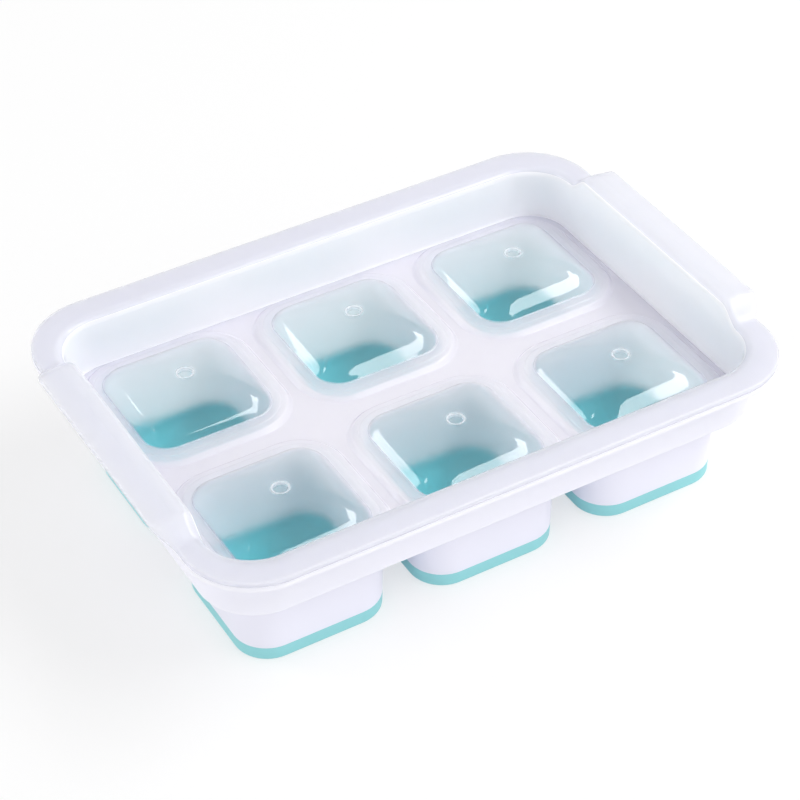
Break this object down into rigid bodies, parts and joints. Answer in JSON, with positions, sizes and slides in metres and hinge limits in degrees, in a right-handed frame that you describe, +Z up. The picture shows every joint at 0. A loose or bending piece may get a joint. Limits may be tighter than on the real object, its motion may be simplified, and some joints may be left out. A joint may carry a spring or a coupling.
{
  "type": "ice cube tray",
  "caption": "Rigid freezer tray for baby food with square cells, soft push-out bottoms and a clear vented lid that nests in its rim and lifts off by end tabs.",
  "frame": {"origin": "on the surface the tray stands on, under the middle of the tray", "axes": "+X along the tray's length, +Y across it to the back, +Z up"},
  "size_m": [0.2024, 0.1406, 0.0531],
  "materials": {
    "clear_lid": "clear, faintly frosted polypropylene",
    "white_body": "satin white polypropylene",
    "soft_bottom": "matt turquoise elastomer"
  },
  "bodies": {
    "tray": {"tray_body": "white_body", "soft_rim_1": "soft_bottom", "soft_rim_2": "soft_bottom", "soft_rim_3": "soft_bottom", "soft_rim_4": "soft_bottom", "soft_rim_5": "soft_bottom", "soft_rim_6": "soft_bottom", "flex_ring_1": "soft_bottom", "flex_ring_2": "soft_bottom", "flex_ring_3": "soft_bottom", "flex_ring_4": "soft_bottom", "flex_ring_5": "soft_bottom", "flex_ring_6": "soft_bottom"},
    "lid": {"lid": "clear_lid"},
    "push_1": {"push_pad_1": "soft_bottom"},
    "push_2": {"push_pad_2": "soft_bottom"},
    "push_3": {"push_pad_3": "soft_bottom"},
    "push_4": {"push_pad_4": "soft_bottom"},
    "push_5": {"push_pad_5": "soft_bottom"},
    "push_6": {"push_pad_6": "soft_bottom"}
  },
  "joints": [
    {"name": "lid_lift", "type": "slide", "parent": "tray", "child": "lid", "axis": [0, 0, 1], "range_m": [0, 0.06]},
    {"name": "push_1", "type": "slide", "parent": "tray", "child": "push_1", "axis": [0, 0, 1], "range_m": [0, 0.007], "stiffness_N_per_m": 2000, "deforming": ["flex_ring_1"]},
    {"name": "push_2", "type": "slide", "parent": "tray", "child": "push_2", "axis": [0, 0, 1], "range_m": [0, 0.007], "stiffness_N_per_m": 2000, "deforming": ["flex_ring_2"]},
    {"name": "push_3", "type": "slide", "parent": "tray", "child": "push_3", "axis": [0, 0, 1], "range_m": [0, 0.007], "stiffness_N_per_m": 2000, "deforming": ["flex_ring_3"]},
    {"name": "push_4", "type": "slide", "parent": "tray", "child": "push_4", "axis": [0, 0, 1], "range_m": [0, 0.007], "stiffness_N_per_m": 2000, "deforming": ["flex_ring_4"]},
    {"name": "push_5", "type": "slide", "parent": "tray", "child": "push_5", "axis": [0, 0, 1], "range_m": [0, 0.007], "stiffness_N_per_m": 2000, "deforming": ["flex_ring_5"]},
    {"name": "push_6", "type": "slide", "parent": "tray", "child": "push_6", "axis": [0, 0, 1], "range_m": [0, 0.007], "stiffness_N_per_m": 2000, "deforming": ["flex_ring_6"]}
  ]
}
